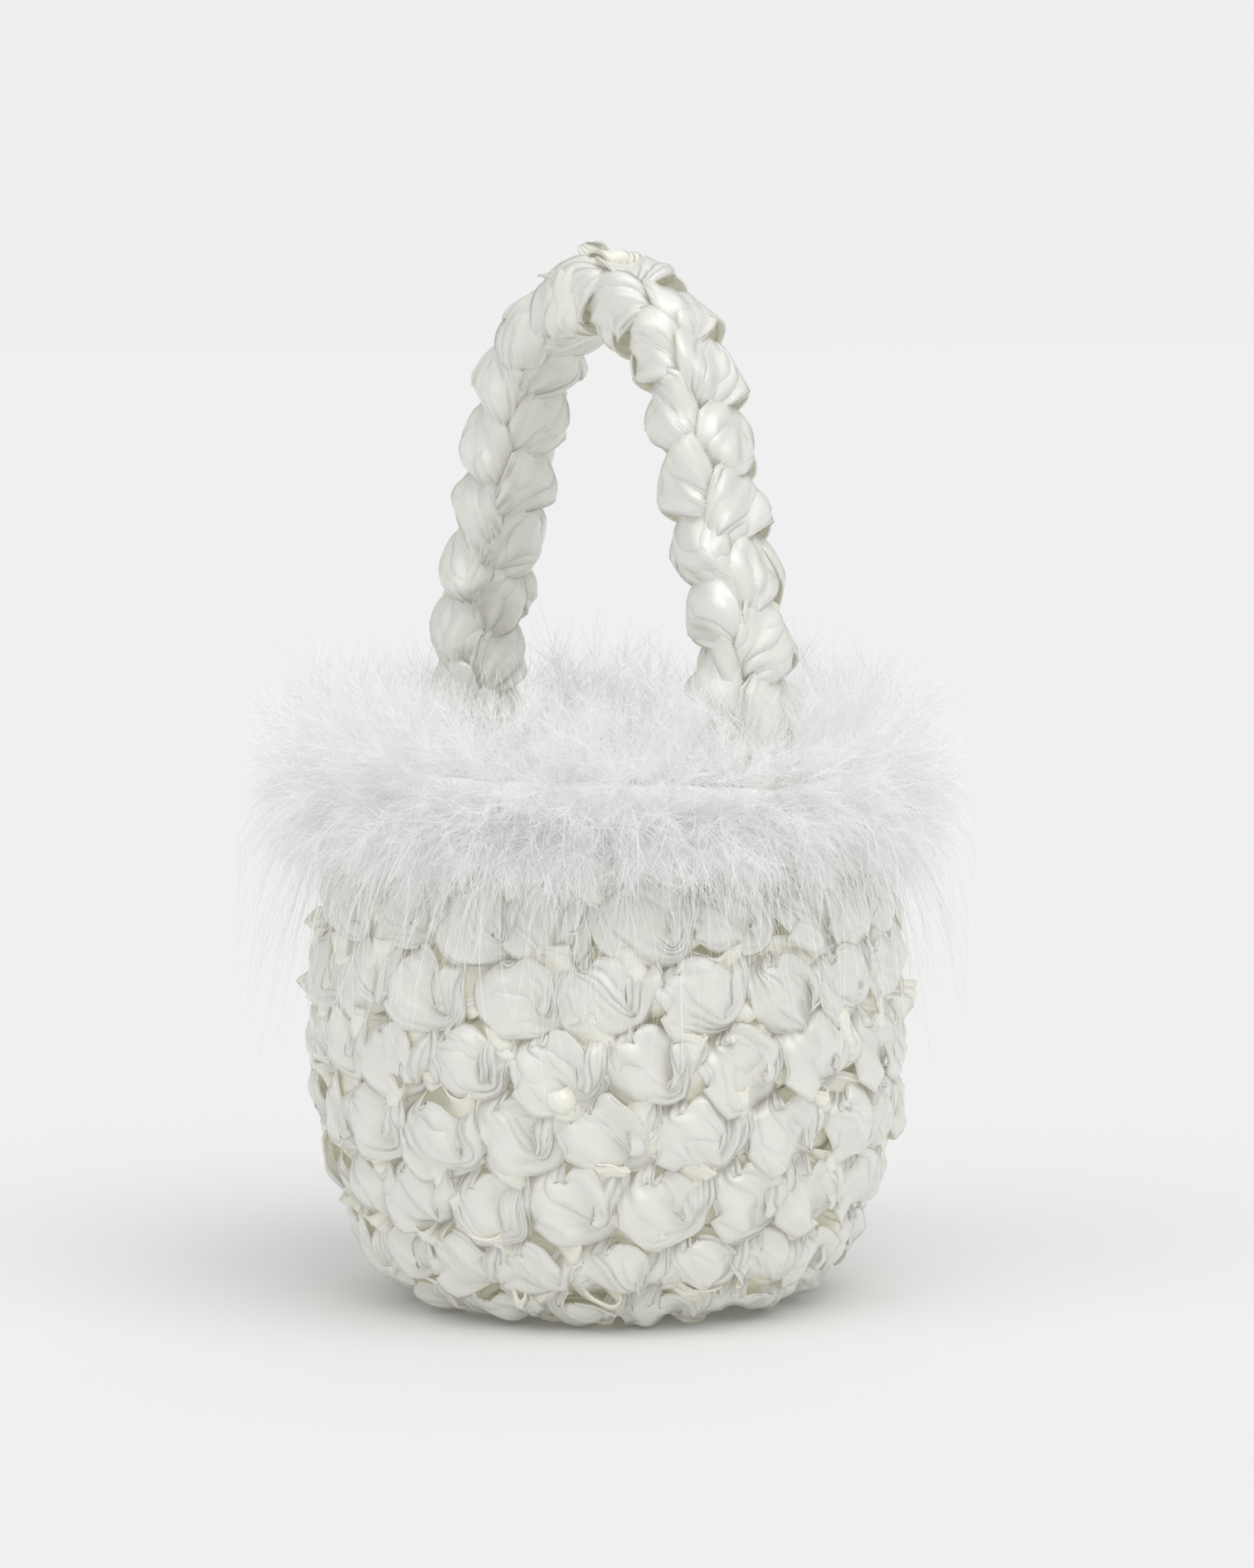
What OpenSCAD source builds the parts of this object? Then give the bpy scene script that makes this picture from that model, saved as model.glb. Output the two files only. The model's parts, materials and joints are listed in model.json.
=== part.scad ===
// Flower girl basket: crocheted satin ribbon, a marabou boa round the mouth and an arched ribbon handle.
// The origin is on the floor under the middle of the base, +Z is up and +X runs through both handle roots.

/* [Basket] */
// Radius at the widest place of the belly
belly_r = 90; // [75:1:108]
// Height of the widest place above the floor
belly_z = 85; // [80:1:92]
// Half height of the egg shape that the belly is cut from
belly_half_h = 113; // [105:1:136]
// Height of one round of stitches
round_h = 21; // [17.5:0.5:22]
// Thickness of the crocheted fabric in the wall
wall_t = 10; // [8:0.5:12]
// Depth of the groove between two rounds
groove = 3; // [0:0.5:4]
// Thickness of the crocheted fabric under the basket
base_h = 7; // [5:0.5:9]
// Radius of the flat area that rests on the floor
base_flat_r = 45; // [41:1:50]
// Width of one round of the base
base_round_w = 21; // [17.5:0.5:22]

/* [Lining] */
// Thickness of the lining cloth with its facing
lining_t = 1; // [0.5:0.1:2]
// Free space between the lining and the stitches
lining_gap = 0.4; // [0.3:0.1:1]
// Thickness of the stiff board under the lining
board_t = 1.5; // [1:0.5:3]
// How far the lining's hem ends below the mouth
hem_drop = 3; // [2:0.5:6]

/* [Rim hoop] */
// Radius of the wire of the hoop in the last round
hoop_wire_r = 1.25; // [0.8:0.05:1.6]
// Depth of the hoop below the mouth
hoop_drop = 7; // [6:0.5:9]

/* [Boa] */
// Radius of the ring of down around its cord
boa_r = 25; // [18:1:29]
// Radius of the cord that the down is wound on
boa_cord_r = 2; // [1:0.5:2.5]
// Height of the cord above the mouth
boa_lift = 2; // [1:0.5:5]
// Stitches that tie the boa to the rim
boa_stitches_n = 12; // [6:2:16]

/* [Handle] */
// Width of the crocheted band, front to back
band_w = 25; // [20:1:30]
// Thickness of the band, across its arch
band_t = 18; // [14:0.5:21.6]
// Upright length of each leg above its pivot
leg_h = 15; // [12:1:30]
// Angle that the legs lean inwards above their bend
lean = 18; // [14:1:22]
// Radius of the bend at the shoulder of each leg
bend_r = 100; // [80:5:130]
// Radius of the arch at the crown
crown_r = 44; // [36:1:53]
// Radius of the wire inside the band
wire_r = 1.5; // [1:0.1:2]
// Angle that the handle folds to each side
swing = 60; // [30:1:65]

/* [Hidden] */

$fn = 96;
wall_rounds = 7;         // the last of them is the rim round
steps_per_round = 8;     // straight pieces in the outline of one round
lining_steps = 24;       // straight pieces in the outline of the lining
fit_gap = 0.3;           // free space between soft pieces that lie against each other
pivot_gap = 0.5;         // free space round the foot of a leg in its root
root_floor = 1;          // ribbon left under the foot of a leg
root_clear = 0.4;        // free space between a folded leg and the top edge of its root
thread_r = 0.4;          // radius of the sewing thread
boa_stitch_slack = 4.5;  // how far a loop stands off the cord, so that it reaches into the rim
boa_stitch_in = 3.5;     // how far the middle of a loop lies inside the cord's ring
boa_stitch_low = 1;      // how far the middle of a loop lies below the cord

rim_z = base_h + wall_rounds * round_h;
base_centre_r = base_flat_r - base_round_w - 8;

// Radius of the outer surface of the belly at height z: an ellipse standing on its point.
function belly(z) = belly_r * sqrt(1 - pow((z - belly_z) / belly_half_h, 2));

// Outer outline of one round that starts at height z0: the belly, drawn in at both ends by the groove.
function round_outline(z0) = [
  for (i = [0 : steps_per_round])
    let (s = i / steps_per_round, z = z0 + s * round_h)
    [belly(z) - groove * (1 - sin(180 * s)), z]
];

// Inner outline of the same round, from its top down to its bottom.
function inner_outline(z0) = [
  for (i = [steps_per_round : -1 : 0])
    let (z = z0 + i * round_h / steps_per_round)
    [belly(z) - wall_t, z]
];

// Crochet in the last round and its hoop
hoop_z = rim_z - hoop_drop;
hoop_ring_r = belly(hoop_z) - wall_t / 2;

// Lining
floor_z = base_h + board_t + lining_t;
lining_seam_r = belly(base_h) - wall_t - lining_gap;
lining_top_z = rim_z - hem_drop;
board_r = lining_seam_r - 3;

// Handle: the legs stand on the middle of the mouth's edge
leg_x = belly(rim_z) - (wall_t + groove) / 2;
foot_r = band_w / 2 - pivot_gap;
saddle_r = band_w / 2 + pivot_gap;
pivot_z = rim_z + root_floor + saddle_r;
root_top_z = pivot_z - saddle_r * sin(swing - acos((band_w / 2 + root_clear) / saddle_r));
shoulder_z = pivot_z + leg_h;
lean_x = leg_x - bend_r * (1 - cos(lean));
lean_z = shoulder_z + bend_r * sin(lean);
lean_len = (lean_x - crown_r * cos(lean)) / sin(lean);
crown_z = lean_z + lean_len * cos(lean) - crown_r * sin(lean);
collar_len = 4;
collar_grow = 0.8;
knot_half_angle = 6;
knot_t = 2;
tail_len = 8;
tail_w = 5;
tail_t = 3;
tail_tilt = 50;
tail_foot_x = 2;         // how far the tail's foot stands beside the top of the knot

// Boa: its cord passes outside both legs
boa_ring_r = leg_x + band_t / 2 + boa_cord_r + 3;
boa_z = rim_z + boa_lift;
boa_stitch_ring_r = boa_cord_r + boa_stitch_slack;

ribbon_colour = "ivory";
down_colour = "white";
cloth_colour = "linen";

// ---- Crocheted basket ----

// One round of stitches, counted from 0 at the base.
module wall_round(number) {
  z0 = base_h + number * round_h;
  color(ribbon_colour)
    rotate_extrude()
      polygon(concat(round_outline(z0), inner_outline(z0)));
}

module base_centre() {
  color(ribbon_colour)
    cylinder(r = base_centre_r, h = base_h);
}

module base_ring(inner_r, outer_r) {
  color(ribbon_colour)
    rotate_extrude()
      translate([inner_r, 0])
        square([outer_r - inner_r, base_h]);
}

// The outer round of the base turns up from the floor to the first round of the wall.
module base_round_2() {
  inner_r = base_centre_r + base_round_w;
  outer_r = belly(base_h) - groove;
  edge = [
    for (a = [0 : 15 : 90])
      [base_flat_r + (outer_r - base_flat_r) * sin(a), base_h * (1 - cos(a))]
  ];
  color(ribbon_colour)
    rotate_extrude()
      polygon(concat([[inner_r, 0]], edge, [[inner_r, base_h]]));
}

// The last round is worked over the wire hoop, so it has a channel for it.
module rim_round() {
  difference() {
    wall_round(wall_rounds - 1);
    ring(hoop_ring_r, hoop_z, hoop_wire_r + fit_gap);
  }
}

module rim_hoop() {
  color("silver")
    ring(hoop_ring_r, hoop_z, hoop_wire_r);
}

// A round wire or cord bent to a circle.
module ring(ring_r, z, wire) {
  translate([0, 0, z])
    rotate_extrude()
      translate([ring_r, 0])
        circle(r = wire, $fn = 32);
}

// ---- Board and lining ----

module base_board() {
  color("tan")
    translate([0, 0, base_h])
      cylinder(r = board_r, h = board_t);
}

module lining_base() {
  color(cloth_colour)
    translate([0, 0, base_h + board_t])
      cylinder(r = lining_seam_r, h = lining_t);
}

// Outer radius of the lining at height z: it stands in the seam and then follows the stitches.
function lining_outer(z) = z <= floor_z ? lining_seam_r : belly(z) - wall_t - lining_gap;

module lining_wall() {
  heights = [
    for (i = [0 : lining_steps])
      floor_z + (lining_top_z - floor_z) * i / lining_steps
  ];
  outside = [for (z = heights) [lining_outer(z), z]];
  inside = [
    for (i = [lining_steps : -1 : 0])
      [lining_outer(heights[i]) - lining_t, heights[i]]
  ];
  color(cloth_colour)
    rotate_extrude()
      polygon(concat(outside, inside));
}

// ---- Marabou boa ----

module boa_cord() {
  color("white")
    ring(boa_ring_r, boa_z, boa_cord_r);
}

// Outline of the rim and its lining with room round them, which the down lies over.
module rim_clearance() {
  low_z = boa_z - boa_r - 2;
  step = (rim_z - low_z) / lining_steps;
  outside = [
    for (i = [0 : lining_steps])
      let (z = low_z + i * step)
      [belly(z) + fit_gap, z]
  ];
  inside = [
    for (i = [lining_steps : -1 : 0])
      let (z = low_z + i * step)
      [belly(z) - wall_t - lining_gap - lining_t - fit_gap, z]
  ];
  top = [
    [belly(rim_z) + fit_gap, rim_z + fit_gap],
    [belly(rim_z) - wall_t - lining_gap - lining_t - fit_gap, rim_z + fit_gap]
  ];
  polygon(concat(outside, top, inside));
}

// The space that a leg and its root sweep, drawn across the fold: the down parts round it.
module leg_path() {
  half_w = band_w / 2 + collar_grow + 2 * fit_gap;
  reach = boa_r * 3;
  side_y = half_w * cos(swing);
  side_z = -half_w * sin(swing);
  tip_y = side_y + reach * sin(swing);
  tip_z = side_z + reach * cos(swing);
  circle(r = half_w);
  translate([-half_w, -half_w - root_floor * 2])
    square([2 * half_w, half_w]);
  polygon([[side_y, side_z], [tip_y, tip_z], [tip_y, reach * 2],
           [-tip_y, reach * 2], [-tip_y, tip_z], [-side_y, side_z]]);
}

module boa_down() {
  parting_in = leg_x - band_t;
  parting_out = leg_x + band_t / 2 + collar_grow + 2 * fit_gap;
  color(down_colour)
    difference() {
      rotate_extrude()
        difference() {
          translate([boa_ring_r, boa_z])
            circle(r = boa_r, $fn = 64);
          translate([boa_ring_r, boa_z])
            circle(r = boa_cord_r + 0.1, $fn = 32);
          rim_clearance();
        }
      for (side = [0, 180])
        rotate([0, 0, side])
          translate([parting_in, 0, pivot_z])
            rotate([90, 0, 90])
              linear_extrude(height = parting_out - parting_in)
                leg_path();
    }
}

// Loops of thread round the boa's cord and through the top of the rim.
module boa_stitches() {
  color("white")
    for (i = [0 : boa_stitches_n - 1])
      rotate([0, 0, (i + 0.5) * 360 / boa_stitches_n])
        translate([boa_ring_r - boa_stitch_in, 0, boa_z - boa_stitch_low])
          rotate([90, 0, 0])
            ring(boa_stitch_ring_r, 0, thread_r);
}

// ---- Handle ----

// Cross-section of the band: a rounded rectangle on a superellipse, x across the arch and y along its width.
module band_section(grow) {
  power = 0.5;
  polygon([
    for (a = [0 : 15 : 345])
      [(band_t / 2 + grow) * sign(cos(a)) * pow(abs(cos(a)), power),
       (band_w / 2 + grow) * sign(sin(a)) * pow(abs(sin(a)), power)]
  ]);
}

// A piece of the band between two points of its path: straight, with its cross-section given as children.
module straight(x, z, tilt, from_s, to_s) {
  translate([x, 0, z])
    rotate([0, -tilt, 0])
      translate([0, 0, from_s])
        linear_extrude(height = to_s - from_s)
          children();
}

// A piece of the band round an arc of the handle's plane, between two angles.
module arc(x, z, arc_r, from_angle, to_angle) {
  translate([x, 0, z])
    rotate([90, 0, 0])
      rotate_extrude(angle = to_angle - from_angle, start = from_angle)
        translate([arc_r, 0])
          children();
}

// Cross-section of the band round its wire.
module band_profile(grow) {
  difference() {
    band_section(grow);
    circle(r = wire_r + fit_gap + grow / 2, $fn = 32);
  }
}

// A tight stitch where two stretches of the band meet: a collar a little wider than the band.
module collar(x, z, tilt) {
  straight(x, z, tilt, -collar_len / 2, collar_len / 2)
    band_profile(collar_grow);
}

// One leg: the round foot, the upright stretch, the shoulder bend and the leaning stretch, with their collars.
module leg() {
  play = collar_len / 4;
  bend_play = play / bend_r * 180 / PI;
  foot();
  straight(leg_x, pivot_z, 0, 0, leg_h - play)
    band_profile(0);
  collar(leg_x, shoulder_z, 0);
  arc(leg_x - bend_r, shoulder_z, bend_r, bend_play, lean - bend_play)
    band_profile(0);
  collar(lean_x, lean_z, lean);
  straight(lean_x, lean_z, lean, play, lean_len - play)
    band_profile(0);
  collar(crown_r * cos(lean), crown_z + crown_r * sin(lean), lean);
}

// Round foot of a leg, on the pivot's axis.
module foot() {
  translate([leg_x - band_t / 2, 0, pivot_z])
    rotate([0, 90, 0])
      rotate([0, 0, -90])
        rotate_extrude(angle = 180, start = 0)
          square([foot_r, band_t]);
}

module handle_band() {
  crown_play = collar_len / 4 / crown_r * 180 / PI;
  color(ribbon_colour)
    union() {
      leg();
      mirror([1, 0, 0])
        leg();
      arc(0, crown_z, crown_r, lean + crown_play, 180 - lean - crown_play)
        band_profile(0);
    }
}

// Middle line of the handle as points [x, z], from the right foot over the crown to the left foot.
function right_path() = concat(
  [[leg_x, pivot_z + 1]],
  [for (i = [0 : 6]) let (a = lean * i / 6) [leg_x - bend_r * (1 - cos(a)), shoulder_z + bend_r * sin(a)]],
  [for (i = [0 : 14]) let (a = lean + (90 - lean) * i / 14) [crown_r * cos(a), crown_z + crown_r * sin(a)]]
);

// The wire: a round rod of wire_sides sides carried along that line.
module handle_wire() {
  wire_sides = 12;
  half = right_path();
  path = concat(half, [for (i = [len(half) - 2 : -1 : 0]) [-half[i][0], half[i][1]]]);
  last = len(path) - 1;
  points = [
    for (i = [0 : last])
      let (
        ahead = path[min(i + 1, last)] - path[max(i - 1, 0)],
        along = ahead / norm(ahead),
        out = (i == 0) ? [1, 0] : (i == last) ? [-1, 0] : [along[1], -along[0]]
      )
      for (k = [0 : wire_sides - 1])
        let (a = 360 * k / wire_sides)
        [path[i][0] + wire_r * cos(a) * out[0], wire_r * sin(a), path[i][1] + wire_r * cos(a) * out[1]]
  ];
  sides = [
    for (i = [0 : last - 1])
      for (k = [0 : wire_sides - 1])
        let (n = (k + 1) % wire_sides, low = i * wire_sides, high = low + wire_sides)
        [low + k, low + n, high + n, high + k]
  ];
  bottom = [[for (k = [wire_sides - 1 : -1 : 0]) k]];
  top = [[for (k = [0 : wire_sides - 1]) last * wire_sides + k]];
  color("silver")
    polyhedron(points = points, faces = concat(bottom, sides, top), convexity = 4);
}

// The root is the band's first stitch on the rim, hollowed for the round foot.
module handle_root(side) {
  color(ribbon_colour)
    difference() {
      translate([side * leg_x - band_t / 2, -saddle_r, rim_z])
        cube([band_t, 2 * saddle_r, root_top_z - rim_z]);
      translate([side * leg_x, 0, pivot_z])
        rotate([0, 90, 0])
          cylinder(r = saddle_r, h = band_t + 2, center = true);
    }
}

// Two loops of thread at each root, through the root and the rim round.
module root_stitches() {
  loop_r = 3;
  color("white")
    for (side = [-1, 1])
      for (front = [-1, 1])
        translate([side * leg_x, front * band_w * 0.4, rim_z])
          rotate([90, 0, 0])
            ring(loop_r, 0, thread_r);
}

// A turn of ribbon round the top of the band, where its last end is tied off.
module crown_knot() {
  color(ribbon_colour)
    arc(0, crown_z, crown_r, 90 - knot_half_angle, 90 + knot_half_angle)
      difference() {
        band_section(fit_gap + knot_t);
        band_section(fit_gap);
      }
}

// The ribbon's pinched end: a leaf of two arcs that stands up beside the knot.
module ribbon_tail() {
  arc_r = (pow(tail_len, 2) + pow(tail_w, 2)) / (4 * tail_w);
  color(ribbon_colour)
    translate([-tail_foot_x, tail_t / 2, crown_z + crown_r + band_t / 2 + knot_t + 2 * fit_gap])
      rotate([90, 0, 0])
        linear_extrude(height = tail_t)
          rotate(tail_tilt)
            translate([0, tail_len / 2])
              intersection() {
                translate([arc_r - tail_w / 2, 0])
                  circle(r = arc_r);
                translate([tail_w / 2 - arc_r, 0])
                  circle(r = arc_r);
              }
}

base_centre();
base_ring(base_centre_r, base_centre_r + base_round_w);  // base_round_1
base_round_2();
wall_round(0);  // wall_round_1
wall_round(1);  // wall_round_2
wall_round(2);  // wall_round_3
wall_round(3);  // wall_round_4
wall_round(4);  // wall_round_5
wall_round(5);  // wall_round_6
rim_round();
rim_hoop();
base_board();
lining_base();
lining_wall();
boa_cord();
boa_down();
boa_stitches();
handle_root(-1);  // handle_root_left
handle_root(1);  // handle_root_right
root_stitches();
handle_band();
handle_wire();
crown_knot();
ribbon_tail();
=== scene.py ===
# %% [markdown]
# # A flower girl basket in crocheted ribbon
# This lesson dresses a plain working model of a wedding basket: a round-bellied basket crocheted from
# ivory satin ribbon, a boa of marabou down round its mouth and an arched handle of the same ribbon.
# The working model already holds every size, so each piece here takes its place from that model's boxes.

# %% The frame and its box
import json
import math

import bpy
import numpy as np
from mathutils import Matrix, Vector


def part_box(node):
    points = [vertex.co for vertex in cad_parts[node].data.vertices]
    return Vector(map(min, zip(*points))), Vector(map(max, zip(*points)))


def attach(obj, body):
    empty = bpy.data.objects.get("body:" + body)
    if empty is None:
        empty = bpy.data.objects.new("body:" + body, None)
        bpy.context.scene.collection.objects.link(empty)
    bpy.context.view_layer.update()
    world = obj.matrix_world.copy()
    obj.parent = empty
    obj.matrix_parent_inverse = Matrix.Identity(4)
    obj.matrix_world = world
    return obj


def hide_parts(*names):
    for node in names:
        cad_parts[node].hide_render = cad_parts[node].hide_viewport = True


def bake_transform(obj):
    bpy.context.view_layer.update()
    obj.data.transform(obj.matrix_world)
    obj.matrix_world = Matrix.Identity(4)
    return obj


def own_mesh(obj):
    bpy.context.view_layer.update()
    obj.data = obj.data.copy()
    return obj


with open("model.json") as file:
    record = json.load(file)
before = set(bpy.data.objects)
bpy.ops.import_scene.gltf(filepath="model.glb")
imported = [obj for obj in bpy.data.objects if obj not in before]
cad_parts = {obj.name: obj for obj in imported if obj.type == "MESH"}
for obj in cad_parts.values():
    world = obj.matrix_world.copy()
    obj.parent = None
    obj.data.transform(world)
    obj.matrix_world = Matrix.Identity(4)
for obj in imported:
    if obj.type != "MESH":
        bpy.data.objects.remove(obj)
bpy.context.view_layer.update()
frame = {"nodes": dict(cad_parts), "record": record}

# %% [markdown]
# ## Sizes
# A crocheter thinks in rounds and stitches. The model gives one ring per round, so the belly's outline is
# read from the tops and middles of those rings. The number of stitches in a round stays the same all the
# way up the wall, and drops towards the middle of the base, as it does when a base is worked by increases.

# %% Sizes taken from the frame
MM = 0.001
WALL_ROUNDS = [f"wall_round_{i}" for i in range(1, 7)] + ["rim_round"]
WALL_STITCHES = 20
RIBBON_W = 25 * MM
RIBBON_T = 0.45 * MM
SEED = 7


def ring_size(node):
    """Outer radius and middle height of one ring, from its box."""
    low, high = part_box(node)
    return 0.5 * (high[0] - low[0]), 0.5 * (high[2] + low[2])


ring_sizes = np.array([ring_size(node) for node in WALL_ROUNDS])
round_h = float(ring_sizes[1, 1] - ring_sizes[0, 1])
base_r, base_mid_z = ring_size("base_round_2")
rim_z = float(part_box("rim_round")[1][2])
swing_joint = next(j for j in frame["record"]["behaviour"]["joints"] if j["name"] == "handle_swing")
pivot_z = float(swing_joint["pos_m"][2])
print("rounds:", np.round(ring_sizes * 1000, 1).tolist(), "round height", round(round_h, 4))

# %% [markdown]
# ## The belly's outline
# The outline runs from the middle of the base along the floor, turns up and follows the belly to the rim.
# A smooth curve through a few points (a Catmull-Rom curve) is sampled densely, and its arc length is
# measured, so that a stitch can be placed by how far up the fabric it lies.

# %% Outline of the basket
def catmull_rom(points, steps, closed=False):
    """Curve through all points: on each stretch the position is the cubic whose end slopes are half the
    difference of the neighbouring points. Works on arrays of any width, as whole arrays."""
    points = np.asarray(points, float)
    count = len(points)
    if closed:
        index = np.arange(count)
        p0, p1, p2, p3 = (points[(index + k) % count] for k in (-1, 0, 1, 2))
    else:
        index = np.arange(count - 1)
        p0, p1 = points[np.maximum(index - 1, 0)], points[index]
        p2, p3 = points[index + 1], points[np.minimum(index + 2, count - 1)]
    t = (np.arange(steps) / steps)[None, :, None]
    p0, p1, p2, p3 = (p[:, None, :] for p in (p0, p1, p2, p3))
    curve = 0.5 * (2 * p1 + (p2 - p0) * t + (2 * p0 - 5 * p1 + 4 * p2 - p3) * t**2
                   + (3 * p1 - p0 - 3 * p2 + p3) * t**3)
    curve = curve.reshape(-1, points.shape[1])
    return curve if closed else np.vstack([curve, points[-1]])


def ring_angles(count):
    """Angles of count even steps once round, without the last that closes the ring."""
    return np.linspace(0, 2 * math.pi, count, endpoint=False)


FLOOR_SHARE = 0.74     # share of the base's radius that lies flat on the floor
WALL_FROM_Z = 2 * MM   # the outline is wall above this height and floor below it
floor_r = base_r * FLOOR_SHARE
outline_points = np.vstack([
    [[0.0, 0.0], [floor_r * 0.5, 0.0], [floor_r, 0.0005], [base_r * 0.99, base_mid_z * 1.25]],
    ring_sizes,
    [[ring_sizes[-1, 0] - 7 * MM, rim_z + 1 * MM]],
])
outline = catmull_rom(outline_points, 40)
outline_s = np.concatenate([[0], np.cumsum(np.linalg.norm(np.diff(outline, axis=0), axis=1))])
tangent = np.gradient(outline, outline_s, axis=0)
tangent /= np.linalg.norm(tangent, axis=1, keepdims=True)
outline_normal = np.stack([tangent[:, 1], -tangent[:, 0]], axis=1)
on_wall = outline[:, 1] > WALL_FROM_Z


def on_outline(s):
    """Radius, height and outward normal (radial part, upright part) at arc length s."""
    return [np.interp(s, outline_s, column) for column in
            (outline[:, 0], outline[:, 1], outline_normal[:, 0], outline_normal[:, 1])]


def s_at_height(z):
    """Arc length at which the wall reaches height z."""
    return float(np.interp(z, outline[on_wall, 1], outline_s[on_wall]))


def wall_radius(z):
    """Radius of the wall's outline at height z."""
    return np.interp(z, outline[on_wall, 1], outline[on_wall, 0])


print("outline length", round(outline_s[-1] * 1000, 1), "mm")

# %% [markdown]
# ## Meshes from grids
# Every ribbon is one grid of points: along the ribbon and across it. To give the ribbon its thickness the
# grid is carried round both faces, so the cross-section is a closed loop that is a little thicker at the
# two selvedges. The grid's own two directions, in metres, become the UV map, which the weave will follow.

# %% Grid helpers
SELVEDGE_SWELL = 0.5   # how much thicker the ribbon is at its two selvedges
CREASE_SHIFT = 7.3     # keeps two ribbons from sharing their creases: UV metres per metre of position


def unit(v):
    """Vectors scaled to length one along the last axis."""
    return v / np.maximum(np.linalg.norm(v, axis=-1, keepdims=True), 1e-12)


def grid_faces(rows, cols, wrap_rows, wrap_cols):
    """Corner numbers of the quads of a rows x cols grid, joined end to end where asked."""
    i = np.arange(rows if wrap_rows else rows - 1)
    j = np.arange(cols if wrap_cols else cols - 1)
    i, j = (g.ravel() for g in np.meshgrid(i, j, indexing="ij"))
    i2, j2 = (i + 1) % rows, (j + 1) % cols
    return np.stack([i * cols + j, i2 * cols + j, i2 * cols + j2, i * cols + j2], axis=1)


def mesh_object(name, verts, faces, uv=None, material=None, smooth=True, second=None, use_second=None):
    """A mesh object at the origin from vertex and face arrays; uv holds one pair per face corner.
    The faces marked in use_second wear the second material."""
    mesh = bpy.data.meshes.new(name)
    corners = faces.shape[1]
    mesh.vertices.add(len(verts))
    mesh.vertices.foreach_set("co", np.ascontiguousarray(verts, np.float32).ravel())
    mesh.loops.add(faces.size)
    mesh.loops.foreach_set("vertex_index", np.ascontiguousarray(faces, np.int32).ravel())
    mesh.polygons.add(len(faces))
    mesh.polygons.foreach_set("loop_start", np.arange(0, faces.size, corners, dtype=np.int32))
    mesh.polygons.foreach_set("use_smooth", np.full(len(faces), smooth))
    if use_second is not None:
        mesh.polygons.foreach_set("material_index", np.ascontiguousarray(use_second, np.int32))
    if uv is not None:
        layer = mesh.uv_layers.new(name="ribbon")
        layer.uv.foreach_set("vector", np.ascontiguousarray(uv, np.float32).ravel())
    mesh.update(calc_edges=True)
    mesh.validate()
    obj = bpy.data.objects.new(name, mesh)
    bpy.context.scene.collection.objects.link(obj)
    for surface in (material, second):
        if surface:
            mesh.materials.append(surface)
    return obj


def ribbon_shell(points, closed, thickness=RIBBON_T):
    """Vertices, faces, UVs and back-face marks of a ribbon of real thickness round a grid of middle
    points. Each point moves half the thickness along the grid's normal, to the front and to the back."""
    along = np.gradient(points, axis=0)
    if closed:
        along = 0.5 * (np.roll(points, -1, axis=0) - np.roll(points, 1, axis=0))
    across = np.gradient(points, axis=1)
    normal = unit(np.cross(along, across))
    rows, cols = points.shape[:2]
    edge = np.abs(np.linspace(-1, 1, cols)) ** 8
    half = 0.5 * thickness * (1 + SELVEDGE_SWELL * edge)[None, :, None]
    loop = np.concatenate([points + normal * half, (points - normal * half)[:, ::-1]], axis=1)
    faces = grid_faces(rows, 2 * cols, closed, True)
    step = np.linalg.norm(np.diff(points[:, cols // 2], axis=0), axis=1)
    length = np.concatenate([[0], np.cumsum(step), [np.sum(step) + step[-1]]])
    length += CREASE_SHIFT * float(np.abs(points[0, 0]).sum())
    width = np.concatenate([np.linspace(0, RIBBON_W, cols), np.linspace(RIBBON_W, 0, cols), [0.0]])
    i, j = faces[:, 0] // (2 * cols), faces[:, 0] % (2 * cols)
    u = np.stack([length[i], length[i + 1], length[i + 1], length[i]], axis=1)
    v = np.stack([width[j], width[j], width[j + 1], width[j + 1]], axis=1)
    back = (j >= cols) & (j < 2 * cols - 1)
    return loop.reshape(-1, 3), faces, np.stack([u, v], axis=2), back


def join_parts(parts):
    """One (vertices, faces, ...) set out of several: the faces are renumbered, and whatever else the
    sets hold, such as UVs and back-face marks, is put end to end."""
    columns = list(zip(*parts))
    firsts = np.concatenate([[0], np.cumsum([len(verts) for verts in columns[0]])[:-1]])
    columns[1] = [faces + first for faces, first in zip(columns[1], firsts)]
    return [np.concatenate(column) for column in columns]


def deep_shell(shell):
    """The same shell with every face marked as lying deep in the fabric, so that all of it wears the satin's
    deep copy, painted light that lifts the shade there.
    """
    return shell[:3] + (np.ones(len(shell[1]), bool),)


def ribbon_object(name, shells):
    """One object from several shells: satin on the faces that show, and on the others the satin's deep copy,
    whose lighter, creamier colour and stronger emission are painted light in the shade deep in the fabric.
    """
    verts, faces, uv, back = join_parts(shells)
    return mesh_object(name, verts, faces, uv, SATIN, second=SATIN_DEEP_PAINTED_LIGHT, use_second=back)


print("ribbon:", round(RIBBON_W / MM, 1), "mm wide,", round(RIBBON_T / MM, 2), "mm thick")

# %% [markdown]
# ## One crocheted stitch
# A ribbon stitch has three parts that show. The ribbon comes out pinched from under the round above, opens
# into a broad glossy leaf, and dives into the next stitch as a narrow twisted strand. Behind it runs the
# loop that the next stitch was drawn through, which fills the gap between two leaves.
# Each stitch is a handful of stations. A station says where the ribbon's middle is (along the round, up
# the fabric, out of the fabric), which way the ribbon's width points, how wide it is spread there, how
# much it bulges and how deeply it is pleated. A smooth curve through all stations of a round, with a
# little seeded unevenness, gives the whole round as one endless ribbon.

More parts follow.
